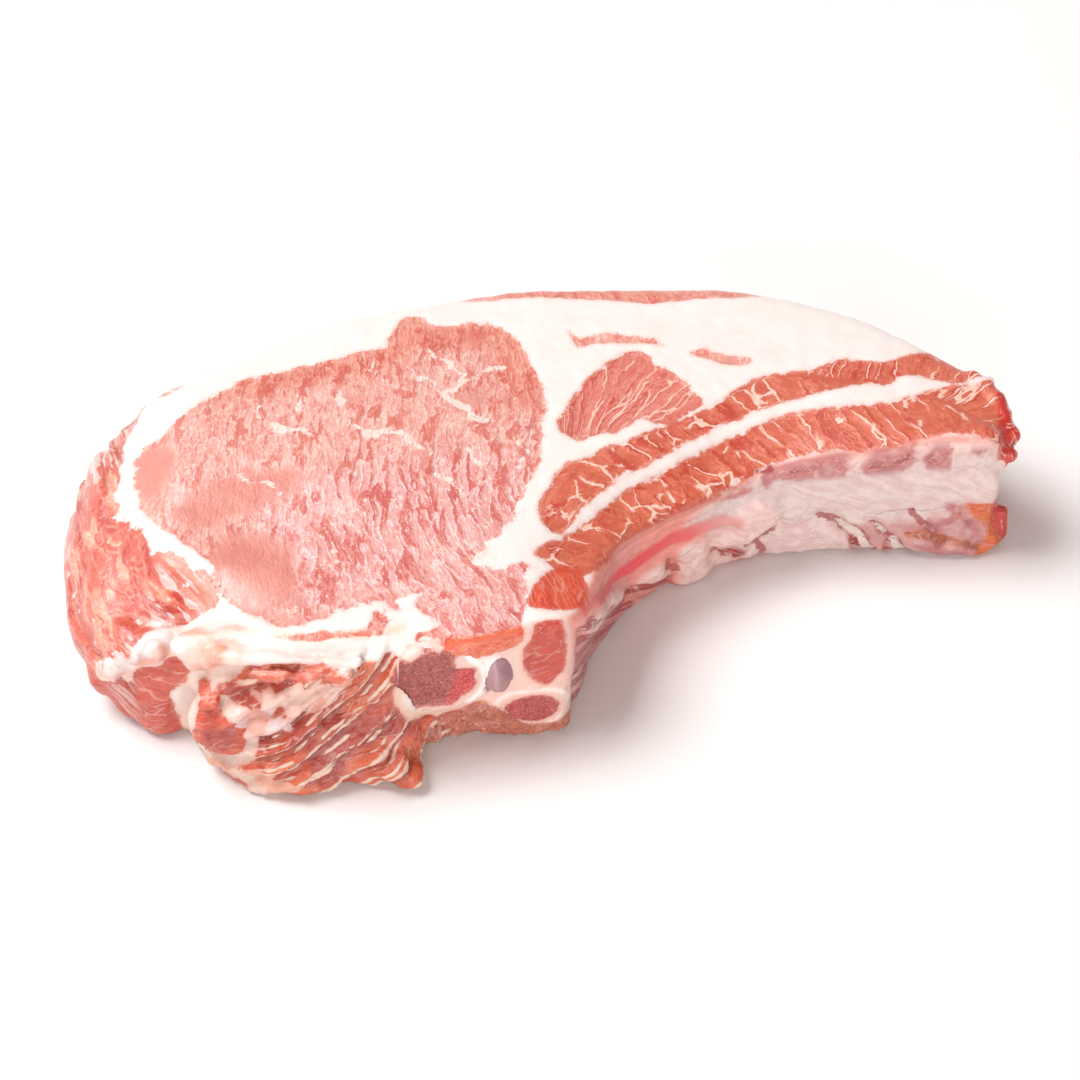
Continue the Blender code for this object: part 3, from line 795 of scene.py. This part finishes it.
def paint_bay(skin, place):
    """The side that the rib runs along: membrane, a vessel, fat and the ends of the sawn tissue."""
    gate = np.minimum(np.minimum(place.on_wall, place.side + 1), 115 - place.side)

    def shape(outline):
        return np.minimum(inside(place.wall, outline), gate)

    side, z = place.wall.T
    skin.tone(gate, srgb(255, 158, 140), 2)
    skin.trait("film", gate, 1.0, 2)
    own = gate > np.maximum(skin.lean, 0) + 3
    skin.grain = np.where(own[:, None], np.column_stack([z, side, side * 0]), skin.grain)
    skin.tone(np.minimum(gate, side - 48), srgb(244, 208, 200), 12)
    skin.tone(np.minimum(gate, np.minimum(12 - z, side - 55)), srgb(246, 218, 212), 4)
    foot = np.minimum(13 - z, side - 84) + noise(place.points, 5, 37, 3) * 5
    skin.tone(np.minimum(gate, foot), srgb(216, 158, 156), 5, 0.85)
    skin.tone(shape(BAY_BAND), srgb(240, 216, 211), 4)
    skin.tone(np.minimum(gate, np.minimum(30 - side, 12 - z / 2)), srgb(214, 132, 130), 10, 0.85)
    flow = np.column_stack([z + side * 0.5, side - z, side * 0])
    for outline in BAY_LOBES:
        within = shape(outline) + noise(place.points, 4, 14, 2) * 1.2
        skin.tone(within, srgb(252, 216, 208), 2)
        skin.press(within, 1.7, 4)
    for outline in BAY_DARKS:
        within = shape(outline) + 0.8 + noise(place.points, 5, 12, 3) * 2.5
        skin.muscle(within, srgb(182, 50, 52), flow, flake=0.7, strand=0.7, layered=0.7)
        skin.press(within, -0.5, 3)
    wander = np.column_stack([noise(place.points, 3, seed, 2) for seed in (29, 30, 31)]) * 2.5
    for outline in BAY_BRUISES:
        within = np.minimum(shape(outline), noise(place.points + wander, 4.5, 13, 3) * 7)
        skin.tone(within, srgb(196, 112, 116), 3)
        skin.muscle(within - 1.6, srgb(200, 112, 114), flow, flake=1.0, strand=0.5)
    fluffy = np.minimum(np.minimum(gate, side - 38), 17 - z)
    skin.relief += noise(place.points, 2.6, 25, 2) * 0.8 * smooth_step(fluffy / 4)
    paint_vessel(skin, place, gate)
    for half_width, line in TEARS:
        away = line_distance(place.wall + noise(place.points, 4, 16, 2)[:, None] * 0.8, line)
        skin.vein = np.minimum(skin.vein, np.maximum(away - half_width - 0.4, -gate))
        skin.press(np.minimum(gate, 1.6 - away), -0.5, 3)
    torn = 1.0 - line_distance(place.wall, TORN_GAP) + noise(place.points, 3, 36, 2) * 0.8
    skin.muscle(np.minimum(gate, torn), srgb(196, 96, 52), flow)
    skin.press(np.minimum(gate, torn), -0.7, 1.5)
    skin.muscle(shape(TORN_EDGE), srgb(238, 112, 50), flow, strand=0.4)


def paint_vessel(skin, place, gate):
    """The blood vessel under the membrane, brightest near the backbone, and a line of painted shade along the wall's
    top edge.
    """
    side = place.side
    away = line_distance(place.wall, VESSEL) + noise(place.points, 5, 19, 2) * 0.7
    away = away + 0.8 * (1 - smooth_step((side - 4) / 12))
    strength = 1 - smooth_step((side - 26) / 34)
    skin.tone(np.minimum(gate, 2.2 - away), srgb(240, 128, 120), 3, 0.8 * strength)
    skin.tone(np.minimum(gate, 1.5 - away), srgb(240, 6, 34), 1.4, 0.35 + 0.65 * strength)
    skin.trait("film", np.minimum(gate, 1.5 - away), 0.3, 1.5)
    skin.press(np.minimum(gate, 1.4 - away), 0.4, 2)
    # A thin dark red line along the top edge of the wall: painted shade under the overhanging strip.
    rim = 0.7 - np.abs(place.edge - 2.6 + noise(place.points, 6, 20) * 0.8)
    skin.tone(np.minimum(rim, np.minimum(side - 8, 60 - side)), srgb(206, 96, 84), 1.2, 0.7)


def paint_end(skin, place):
    """The short side across the rib end, where the sheets of muscle were cut through."""
    x, y, z = place.points.T
    gate = np.minimum(np.minimum(place.side - 112, 150 - place.side), place.on_wall)
    across = np.column_stack([y, z, x])
    for outline, tint in ((INNER_STRIP, (214, 42, 24)), (OUTER_STRIP, (220, 64, 38))):
        within = np.minimum(inside(place.plan, outline), gate)
        skin.muscle(np.minimum(within, z - 3), srgb(*tint), across, strand=0.8)


def paint_outside(skin, place):
    """The strands of the muscle that wraps the left end."""
    x, y, z = place.points.T
    slant = (z - 27) * 0.5 * smooth_step((y - 8) / 12)
    within = inside(place.plan, OUTER_MUSCLE) + slant + noise(place.points, 6, 27, 3) * 2.4
    within = np.minimum(within, np.maximum(-y - 30, 0) * -0.5 + 8)
    across = x * 0.7 + y * 0.35 + z * 0.8 + noise(place.points, 12, 21) * 2.0
    along = np.column_stack([across, y * 0.85 - x * 0.5, z * 0.3])
    flaps = across * 0.72 + noise(along * (1, 0.1, 0.1), 7, 26) * 2
    step = flaps / LAYER_DEPTH % 1
    skin.muscle(within, srgb(226, 102, 80), np.column_stack([flaps, along[:, 1], z]), strand=0.3, flake=1.0)
    torn = noise(place.points * (1, 1, 0.5), 15, 28) * 1.6
    skin.trait("layered", np.minimum(within, torn * 4), 0.6)
    rise = np.where(step < 0.92, step / 0.92, (1 - step) / 0.08) - 0.5
    skin.relief += rise * 1.2 * smooth_step(within / 3) * smooth_step(torn + 0.5)
    fold = np.abs(noise(along * (1, 0.12, 0.1), 5.5, 22))
    skin.relief += (np.minimum(fold * 4, 1) - 0.7) * 1.1 * smooth_step(within / 3)
    # The grooves between the strands are darkened, as painted shade.
    skin.stain(np.minimum(within, 1.4 - fold * 16), srgb(214, 112, 96), 1.2, 0.6)
    # Lighter mottled patches on the strands: partly the meat's own mottling, partly painted highlights.
    mottle_and_highlight = noise(along * (1, 0.4, 0.5), 3.2, 38, 3)
    skin.stain(np.minimum(within, mottle_and_highlight * 9 - 0.6), srgb(248, 172, 146), 2, 0.75)
    pale = np.abs(noise(along * (1, 0.1, 0.1), 4.0, 23))
    skin.fat(np.minimum(within - 1, -0.8 - pale * 9), srgb(250, 206, 190))
    skin.stain(np.minimum(within, 12 - z), srgb(222, 120, 104), 12, 0.7)


def paint_rib_head(skin, place):
    """The sawn end of the rib: red marrow in a pale ring."""
    x, y, z = place.points.T
    head = np.column_stack([x, z])
    gate = np.minimum(-32 - y, 11 - np.hypot(x + 1.5, z - 9))
    skin.tone(gate, srgb(262, 216, 202), 2)
    marrow = inside(head, RIB_MARROW)
    ring = np.abs(marrow + 1.6) - 0.35
    skin.tone(np.minimum(gate, -ring), BRIGHT, 0.8)
    marrow = np.minimum(marrow, gate)
    skin.muscle(marrow, srgb(194, 66, 62), place.points, rough=1.0)
    skin.stain(np.minimum(marrow, -3.5 - x), srgb(206, 72, 74), 1.5)


def paint_cartilage(skin, place):
    x, y, z = place.points.T
    skin.lean[:] = -8
    skin.pale[:] = srgb(160, 102, 114)
    skin.tone(-7.0 - x, srgb(196, 152, 160), 3)
    skin.relief += 0.35


def paint_backbone(skin, place):
    """Spongy bone where the backbone was sawn, with its pale cap beside the joint."""
    x, y, z = place.points.T
    face = np.column_stack([x, z])
    skin.lean[:] = -8
    skin.pale[:] = srgb(255, 218, 206)
    marrow = inside(face, [
        (-29, 24), (-28, 28), (-25, 30.5), (-20, 31.5), (-17, 29.5), (-16.5, 26.5), (-13, 25.5),
        (-12.5, 21), (-15, 17.5), (-20, 15.5), (-26, 16.5), (-29, 20),
    ])
    marrow = marrow + noise(place.points, 2.5, 31) * 0.6
    skin.muscle(marrow, srgb(180, 72, 66), place.points, rough=1.0)
    red = inside(face, [(-19, 15), (-13, 17), (-11, 22), (-13, 26), (-16, 25), (-17, 20)])
    skin.stain(np.minimum(marrow, red), srgb(224, 58, 58), 3)
    skin.tone(inside(face, BONE_CAP) + 0.5, BRIGHT, 1)
    skin.relief += noise(place.points, 1.2, 32) * 0.22 * smooth_step(marrow)
    skin.relief -= 0.5 * smooth_step(marrow / 1.5)


# ---- materials ----


class Nodes:
    """Short calls that add shader nodes. A value can be a number, a colour or another node's output."""

    def __init__(self, name):
        self.material = bpy.data.materials.new(name)
        self.material.use_nodes = True
        self.tree = self.material.node_tree
        self.shader = self.tree.nodes["Principled BSDF"]

    def put(self, socket, value):
        if isinstance(value, bpy.types.NodeSocket):
            self.tree.links.new(value, socket)
        elif socket.type == "RGBA":
            socket.default_value = (*value, 1)[:4]
        else:
            socket.default_value = value

    def node(self, kind, inputs, **settings):
        made = self.tree.nodes.new(kind)
        for key, value in settings.items():
            setattr(made, key, value)
        for key, value in inputs.items():
            self.put(made.inputs[key], value)
        return made

    def attribute(self, name, output):
        return self.node("ShaderNodeAttribute", {}, attribute_name=name).outputs[output]

    def math(self, operation, a, b=0.0, clamp=False):
        made = self.node("ShaderNodeMath", {0: a, 1: b}, operation=operation, use_clamp=clamp)
        return made.outputs[0]

    def blend(self, factor, a, b):
        """Number a where factor is 0, and b where it is 1."""
        return self.node("ShaderNodeMix", {0: factor, 2: a, 3: b}, data_type="FLOAT").outputs[0]

    def scale(self, vector, factors):
        made = self.node("ShaderNodeVectorMath", {0: vector, 1: factors}, operation="MULTIPLY")
        return made.outputs[0]

    def grow(self, vector, factor):
        made = self.node("ShaderNodeVectorMath", {0: vector, "Scale": factor}, operation="SCALE")
        return made.outputs[0]

    def join(self, x, y, z):
        return self.node("ShaderNodeCombineXYZ", {0: x, 1: y, 2: z}).outputs[0]

    def add_vector(self, a, b):
        return self.node("ShaderNodeVectorMath", {0: a, 1: b}, operation="ADD").outputs[0]

    def split(self, vector):
        return self.node("ShaderNodeSeparateXYZ", {0: vector}).outputs

    def step(self, value, low, high, to_low=0.0, to_high=1.0):
        """Smooth step of value from low to high, mapped to the last two."""
        made = self.node(
            "ShaderNodeMapRange",
            {"Value": value, "From Min": low, "From Max": high, "To Min": to_low, "To Max": to_high},
            interpolation_type="SMOOTHSTEP",
        )
        return made.outputs["Result"]

    def mix(self, factor, a, b, blend="MIX"):
        made = self.node("ShaderNodeMix", {}, data_type="RGBA", blend_type=blend, clamp_factor=True)
        self.put(made.inputs[0], factor)
        self.put(made.inputs[6], a)
        self.put(made.inputs[7], b)
        return made.outputs[2]

    def noise(self, vector, size, detail=3.0, roughness=0.55, distortion=0.0, output="Fac"):
        """Noise with features of this size in the vector's own unit."""
        made = self.node(
            "ShaderNodeTexNoise",
            {
                "Vector": vector,
                "Scale": 1 / size,
                "Detail": detail,
                "Roughness": roughness,
                "Distortion": distortion,
            },
            noise_dimensions="3D",
        )
        return made.outputs[output]

    def cells(self, vector, size, feature, output, randomness=1.0):
        made = self.node(
            "ShaderNodeTexVoronoi",
            {"Vector": vector, "Scale": 1 / size, "Randomness": randomness},
            voronoi_dimensions="3D",
            feature=feature,
        )
        return made.outputs[output]

    def position(self):
        """The point in the object's own frame, in mm."""
        place = self.node("ShaderNodeTexCoord", {}).outputs["Object"]
        return self.scale(place, (1 / MM,) * 3)

    def bump(self, height, distance, strength=1.0, normal=None):
        inputs = {"Height": height, "Distance": distance * MM, "Strength": strength}
        if normal is not None:
            inputs["Normal"] = normal
        return self.node("ShaderNodeBump", inputs).outputs["Normal"]

    def finish(self, **inputs):
        for key, value in inputs.items():
            self.put(self.shader.inputs[key.replace("_", " ")], value)
        return self.material


GAIN = 1.3  # the light on the upper face, by which colours read from the meat are divided


def tissue_material(name):
    """Lean, fat, membrane and marrow, told apart by what the surface's points hold."""
    n = Nodes(name)
    at = n.position()
    tint = n.scale(n.attribute("tint", "Color"), (1 / GAIN,) * 3)
    pale = n.scale(n.attribute("pale", "Color"), (1 / GAIN,) * 3)
    flake, smooth, strand = n.split(n.attribute("traits_a", "Vector"))
    film, rough, layered = n.split(n.attribute("traits_b", "Vector"))
    plain = n.attribute("seam", "Fac")
    half = (-0.5, -0.5, -0.5)
    swirl = n.add_vector(n.noise(at, 9, 2, output="Color"), half)
    swirl = n.grow(swirl, n.blend(layered, 3, 0))
    ripple = n.scale(n.add_vector(n.noise(at, 1.6, 2, output="Color"), half), (0.5, 0.5, 0.5))
    grain = n.add_vector(n.add_vector(n.attribute("grain", "Vector"), swirl), ripple)
    patches = n.noise(at, 10, 3)

    lines = n.noise(n.scale(grain, (1, 0.07, 1)), 1.5, 4, 0.6)
    ragged = n.math("ADD", n.noise(at, 3.4, 4), n.math("MULTIPLY", n.noise(at, 0.9, 2), 0.2))
    ragged = n.math("MULTIPLY", n.math("SUBTRACT", ragged, 0.6), n.blend(flake, 2.5, 8.0))
    muscle = n.attribute("lean", "Fac")
    border = n.math("ADD", muscle, ragged)
    in_lean = n.step(border, -0.3, 0.3)
    vein = n.math("ADD", n.attribute("vein", "Fac"), n.math("MULTIPLY", n.noise(at, 1.7, 3), 2.4))
    vein = n.step(n.math("ADD", vein, n.math("MULTIPLY", patches, 1.5)), 2.4, 1.9)

    across, along, deep = n.split(grain)
    stretched = n.join(across, n.math("MULTIPLY", along, n.blend(strand, 0.27, 0.07)), deep)
    bundles = n.noise(stretched, 1.8, 4, 0.6)
    fine = n.noise(n.scale(grain, (1, 0.45, 1)), 0.62, 3, 0.7)
    sponge = n.noise(at, 0.55, 3, 0.8, 0.6)
    grains = n.blend(rough, fine, sponge)
    calm = n.math("MULTIPLY", n.math("ADD", smooth, n.step(patches, 0.40, 0.30)), 0.8, clamp=True)
    calm = n.math("MAXIMUM", calm, plain)

    opened = n.step(n.noise(stretched, 3.0, 2), 0.42, 0.66, -0.04, 0.24)
    opened = n.math("MULTIPLY", opened, n.blend(flake, 0.45, 1.0))
    wall = n.cells(stretched, 2.1, "DISTANCE_TO_EDGE", "Distance")
    gap = n.math("ADD", n.math("SUBTRACT", wall, opened), n.math("MULTIPLY", n.math("SUBTRACT", fine, 0.5), 0.16))
    speckle = n.noise(at, 0.38, 2, 0.6)
    # The narrow gaps between flakes are darkened towards the rich tint, as painted shade in the cracks.
    crevice_shade = n.math("MULTIPLY", n.step(gap, 0.04, -0.01), n.math("SUBTRACT", 1.0, calm))
    # Pale edges just beside the gaps: painted highlights on the rims of the cracks.
    crack_edge_glint = n.math("MULTIPLY", n.step(gap, 0.02, 0.06), n.step(gap, 0.17, 0.08))
    crack_edge_glint = n.math("MULTIPLY", crack_edge_glint, n.step(n.noise(at, 1.3, 2), 0.48, 0.56))

    rich = n.mix(1.0, tint, (0.88, 0.50, 0.44), "MULTIPLY")
    light = n.mix(1.0, tint, (1.10, 1.42, 1.46), "MULTIPLY")
    cream_lean = n.mix(1.0, tint, (1.16, 1.75, 1.85), "MULTIPLY")
    tone = n.math("ADD", n.math("MULTIPLY", bundles, 0.55), n.math("MULTIPLY", grains, 0.45))
    tone = n.math("ADD", tone, n.math("MULTIPLY", n.math("SUBTRACT", patches, 0.5), 0.2))
    lean = n.mix(n.step(tone, 0.36, 0.49), rich, tint)
    lean = n.mix(n.step(tone, 0.50, 0.62), lean, light)
    lean = n.mix(n.math("MULTIPLY", crevice_shade, 0.85), lean, rich)
    # The deepest part of the gaps is darkened further, as painted shade.
    deepest_shade = n.math("MULTIPLY", n.step(gap, 0.0, -0.05), n.math("SUBTRACT", flake, calm), clamp=True)
    lean = n.mix(n.math("MULTIPLY", deepest_shade, 0.9), lean, n.mix(1.0, tint, (0.74, 0.26, 0.23), "MULTIPLY"))
    # Cream flecks from the fine fibres and from the gap edges: painted glints of the wet surface.
    painted_glint = n.math("MAXIMUM", n.step(fine, 0.56, 0.66), crack_edge_glint)
    painted_glint = n.math("MULTIPLY", painted_glint, n.blend(flake, 0.35, 0.85))
    painted_glint = n.math("MULTIPLY", painted_glint, n.math("SUBTRACT", 1.0, calm))
    lean = n.mix(painted_glint, lean, cream_lean)
    broken = n.step(n.noise(stretched, 2.6, 2), 0.47, 0.55)
    seamed = n.math("MULTIPLY", n.step(wall, 0.07, 0.02), broken)
    seamed = n.math("MULTIPLY", seamed, n.step(strand, 0.5, 1.0, 0.25, 0.9))
    lean = n.mix(seamed, lean, srgb(240, 204, 186))
    lean = n.mix(n.step(speckle, 0.50, 0.30, 0.0, 0.35), lean, rich)
    lean = n.mix(n.step(speckle, 0.58, 0.72, 0.0, 0.5), lean, cream_lean)
    spongy = n.mix(n.step(sponge, 0.38, 0.50), n.mix(1.0, tint, (0.5, 0.3, 0.3), "MULTIPLY"), tint)
    spongy = n.mix(n.step(sponge, 0.53, 0.60), spongy, n.mix(1.0, tint, (1.5, 2.9, 2.9), "MULTIPLY"))
    lean = n.mix(rough, lean, spongy)
    lean = n.mix(calm, lean, n.mix(1.0, tint, (0.93, 0.84, 0.82), "MULTIPLY"))
    rim, root = layer_lines(n, across, along, film)
    # Under each layer's edge the lean is darkened, as painted shade cast by the layer above.
    lean = n.mix(n.math("MULTIPLY", layered, root), lean, n.mix(1.0, tint, (0.6, 0.36, 0.34), "MULTIPLY"))
    lean = n.mix(n.math("MULTIPLY", layered, rim), lean, pale)

    creamy = n.step(n.noise(at, 6, 4), 0.42, 0.66)
    cream = n.mix(n.math("MULTIPLY", creamy, 0.45), pale, n.mix(1.0, pale, (0.99, 0.93, 0.89), "MULTIPLY"))
    streaks = n.math("ADD", lines, n.math("MULTIPLY", n.math("SUBTRACT", n.noise(at, 2.4, 5, 0.7), 0.5), 0.9))
    lined = n.mix(n.step(streaks, 0.36, 0.60), n.mix(1.0, pale, (0.90, 0.76, 0.77), "MULTIPLY"), pale)
    lined = n.mix(n.step(streaks, 0.56, 0.72, 0.0, 0.7), lined, n.mix(1.0, pale, (1.06, 1.12, 1.12), "MULTIPLY"))
    cream = n.mix(n.math("MULTIPLY", film, n.math("SUBTRACT", 0.8, plain), clamp=True), cream, lined)
    near = n.math("MULTIPLY", n.step(border, -1.2, -0.1), 0.25)
    cream = n.mix(near, cream, n.mix(1.0, tint, (1.06, 1.1, 1.0), "MULTIPLY"))
    cream = n.mix(n.math("MULTIPLY", vein, 0.8), cream, srgb(150, 40, 34))
    lean = n.mix(n.math("MULTIPLY", vein, 0.9), lean, srgb(226, 208, 200))
    colour = n.mix(in_lean, cream, lean)

    height = n.math("ADD", n.math("MULTIPLY", bundles, 1.2), n.math("MULTIPLY", grains, 0.6))
    height = n.math("ADD", height, n.math("MULTIPLY", n.step(gap, -0.05, 0.22), n.blend(calm, 0.5, 0.0)))
    height = n.math("ADD", height, n.math("MULTIPLY", n.math("MULTIPLY", layered, rim), 0.6))
    height = n.blend(plain, height, 1.15)
    soft = n.math("ADD", n.noise(at, 5.0, 4, 0.7), n.math("MULTIPLY", lines, n.blend(film, 0.0, 1.0)))
    soft = n.math("ADD", soft, n.math("MULTIPLY", n.math("SUBTRACT", 1.0, vein), 0.4))
    soft = n.blend(plain, soft, 1.0)
    height = n.blend(n.step(muscle, -0.9, 0.7), n.math("ADD", soft, 0.2), height)
    normal = n.bump(height, 0.26)
    wet = n.math("ADD", n.noise(at, 0.6, 3, 0.7), n.math("MULTIPLY", height, 0.5))
    glints = n.bump(wet, 0.16)
    dull = n.math("ADD", 0.34, n.math("MULTIPLY", n.noise(at, 1.3, 3), 0.24))
    return n.finish(
        Base_Color=colour,
        Roughness=dull,
        Normal=normal,
        Specular_IOR_Level=0.5,
        Coat_Weight=0.9,
        Coat_Roughness=0.12,
        Coat_IOR=1.45,
        Coat_Normal=glints,
    )


def layer_lines(n, across, along, film):
    """The pale rims of cut layers, and how deep a point lies under the layer above it, where the material paints its
    shade.
    """
    phase = n.math("DIVIDE", across, LAYER_DEPTH)
    step = n.math("FRACT", phase)
    layer = n.math("MULTIPLY", n.math("FLOOR", phase), 23)
    thick = n.step(n.noise(n.join(layer, along, 0), 7, 2), 0.40, 0.66, 0.06, 0.62)
    thick = n.math("ADD", thick, n.math("MULTIPLY", film, 0.7))
    away = n.math("MULTIPLY", n.math("ABSOLUTE", n.math("SUBTRACT", step, 0.84)), LAYER_DEPTH)
    rim = n.step(n.math("SUBTRACT", thick, away), -0.12, 0.15)
    fine_phase = n.math("MULTIPLY", phase, 2.7)
    fine_step = n.math("ABSOLUTE", n.math("SUBTRACT", n.math("FRACT", fine_phase), 0.5))
    fine_layer = n.math("MULTIPLY", n.math("FLOOR", fine_phase), 17)
    thin = n.step(n.noise(n.join(fine_layer, along, 5), 5, 2), 0.44, 0.62, -0.1, 0.34)
    fine = n.step(n.math("SUBTRACT", thin, n.math("MULTIPLY", fine_step, LAYER_DEPTH / 2.7)), -0.08, 0.1)
    return n.math("MAXIMUM", rim, fine), n.step(step, 0.38, 0.04)


def floor_material():
    n = Nodes("studio_floor")
    grain = n.noise(n.position(), 4.0, 2)
    return n.finish(
        Base_Color=n.mix(n.math("MULTIPLY", grain, 0.02), (0.82, 0.82, 0.82), (0.77, 0.77, 0.77)),
        Roughness=0.8,
        Specular_IOR_Level=0.2,
    )


# ---- studio ----


def studio():
    bpy.ops.mesh.primitive_plane_add(size=2.6)
    floor = bpy.context.object
    floor.name = "studio_floor"
    floor.data.materials.append(floor_material())
    world = bpy.data.worlds.new("studio")
    world.use_nodes = True
    bright_horizon(world.node_tree)
    bpy.context.scene.world = world
    softbox("key_light", (-0.6, 0.2, 1.05), 0.7, 17.0)
    softbox("fill_light", (0.05, -1.3, 0.42), 0.9, 9.5)
    scene = bpy.context.scene
    scene.view_settings.view_transform = "Standard"
    scene.view_settings.look = "None"


def bright_horizon(tree):
    """Light that is dim and warm from above, and pale all round at the height of the chop."""
    place = tree.nodes.new("ShaderNodeTexCoord")
    height = tree.nodes.new("ShaderNodeSeparateXYZ")
    ramp = tree.nodes.new("ShaderNodeValToRGB")
    ramp.color_ramp.elements[0].position = 0.06
    ramp.color_ramp.elements[0].color = (0.92, 0.89, 0.87, 1)
    ramp.color_ramp.elements[1].position = 0.42
    ramp.color_ramp.elements[1].color = (0.40, 0.31, 0.285, 1)
    tree.links.new(place.outputs["Generated"], height.inputs[0])
    tree.links.new(height.outputs["Z"], ramp.inputs[0])
    tree.links.new(ramp.outputs[0], tree.nodes["Background"].inputs["Color"])


def softbox(name, place, size, power):
    data = bpy.data.lights.new(name, "AREA")
    data.shape = "SQUARE"
    data.size = size
    data.energy = power
    light = bpy.data.objects.new(name, data)
    light.location = place
    light.rotation_euler = (-Vector(place)).to_track_quat("-Z", "Y").to_euler()
    bpy.context.scene.collection.objects.link(light)


def camera():
    """Looks down on the chop from in front of the sawn backbone."""
    data = bpy.data.cameras.new("camera")
    data.lens = 100
    data.sensor_width = 36
    data.clip_end = 20
    made = bpy.data.objects.new("camera", data)
    target = Vector((0.5, -3, 17)) * MM
    elevation = math.radians(48)
    made.location = target + Vector((0, -math.cos(elevation), math.sin(elevation))) * 636 * MM
    made.rotation_euler = (target - made.location).to_track_quat("-Z", "Y").to_euler()
    bpy.context.scene.collection.objects.link(made)
    bpy.context.scene.camera = made


build_meat()
build_bone("rib_bone", 0.5, paint_rib_head, "rib_in_membrane")
build_bone("backbone_stub", 0.3, paint_backbone, "sawn_backbone")
build_bone("joint_cartilage", 0.3, paint_cartilage, "joint_gristle")
camera()
studio()
